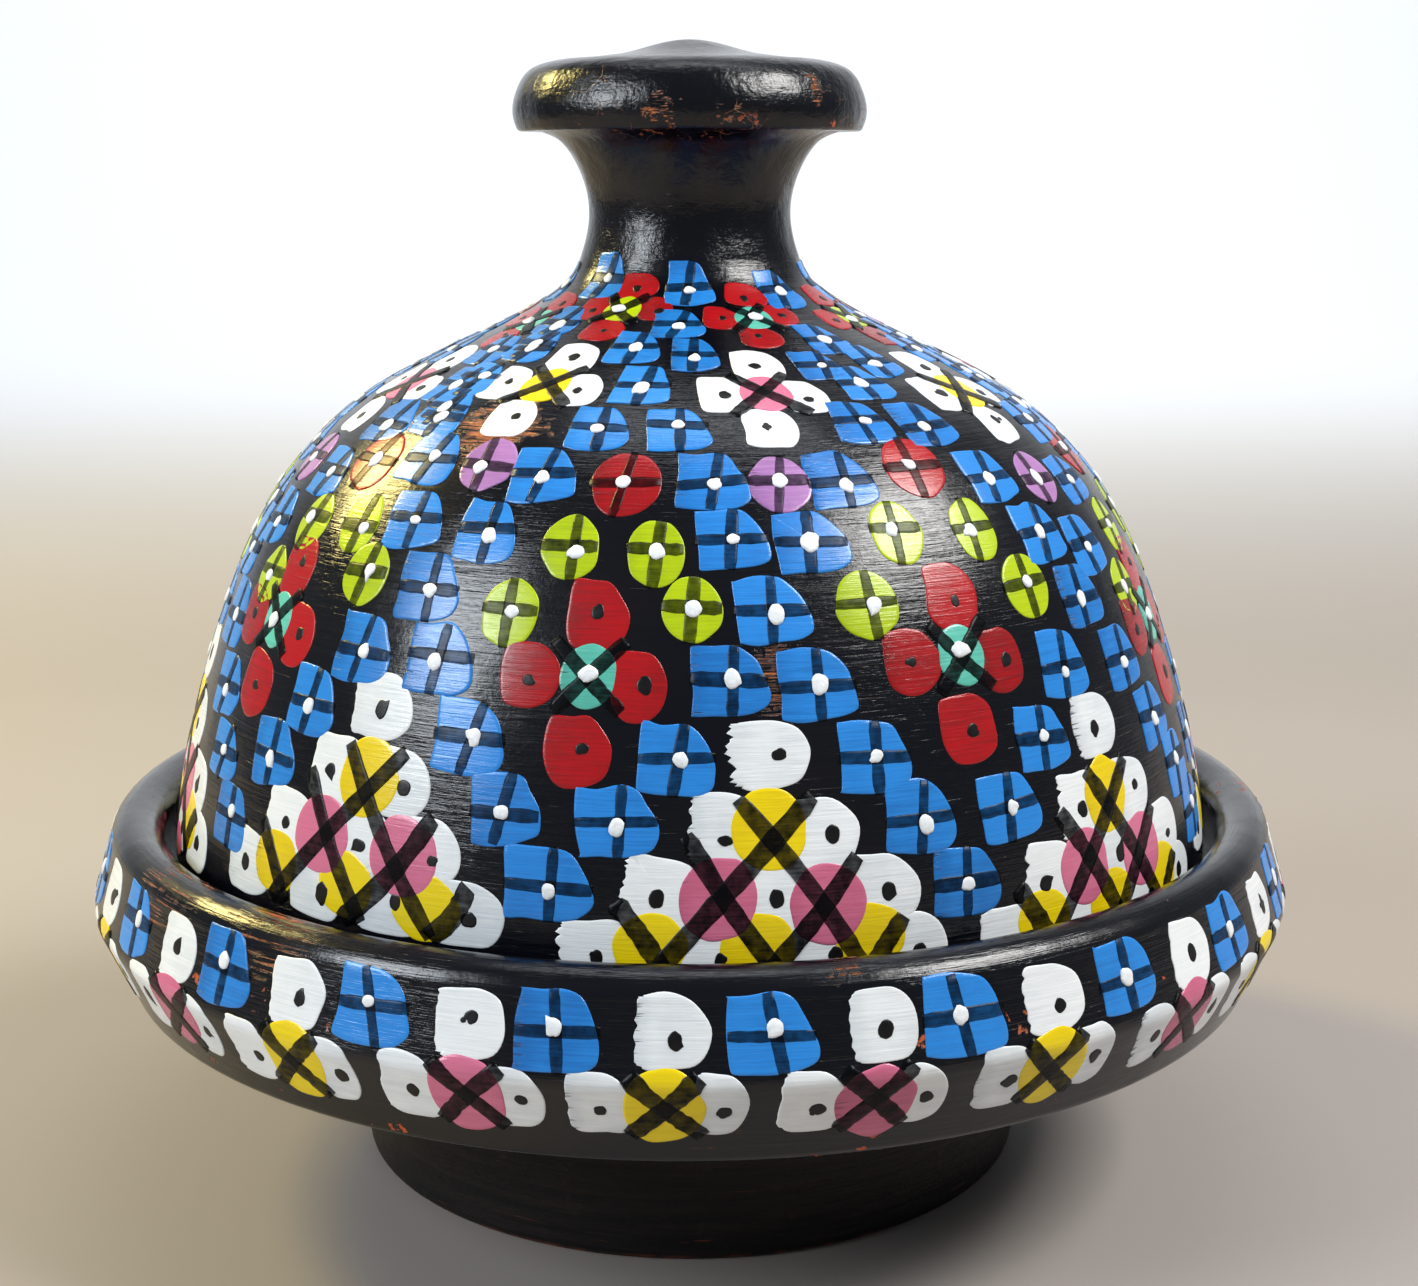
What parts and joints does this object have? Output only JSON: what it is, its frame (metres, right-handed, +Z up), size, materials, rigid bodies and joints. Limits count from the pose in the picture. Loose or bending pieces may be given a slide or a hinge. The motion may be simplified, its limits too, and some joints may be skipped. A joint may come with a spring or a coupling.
{
  "type": "tagine pot",
  "caption": "Small hand-painted serving tagine: a footed round dish with a wide painted rim and a domed lid with a disc knob that rests in the rim's seat.",
  "frame": {"origin": "middle of the foot ring's standing plane, on the turning axis", "axes": "+Z up along the turning axis; X and Y are free round the axis, with the painted side that is described first facing -Y"},
  "size_m": [0.141, 0.141, 0.1302],
  "materials": {
    "lacquer_dish": "glossy black lacquer over fired clay, with turning ridges",
    "lacquer_foot": "thin black wash over bare clay, satin, scratched through in places",
    "lacquer_lid": "glossy black lacquer over fired clay, with turning ridges",
    "lacquer_knob": "glossy black lacquer, worn to the clay along the disc's edge",
    "paint_blue": "glossy brush-laid paint dab",
    "paint_white": "glossy brush-laid paint dab",
    "paint_yellow": "glossy brush-laid paint dab",
    "paint_pink": "glossy brush-laid paint dab",
    "paint_red": "glossy brush-laid paint dab",
    "paint_lime": "glossy brush-laid paint dab",
    "paint_turquoise": "glossy brush-laid paint dab",
    "paint_lilac": "glossy brush-laid paint dab",
    "paint_black": "glossy brush-laid paint dab"
  },
  "bodies": {
    "dish": {"dish_foot": "lacquer_foot", "dish_bowl": "lacquer_dish"},
    "lid": {"lid_dome": "lacquer_lid", "lid_knob": "lacquer_knob"}
  },
  "joints": [
    {"name": "lid_lift", "type": "slide", "parent": "dish", "child": "lid", "axis": [0, 0, 1], "range_m": [0, 0.09]}
  ]
}
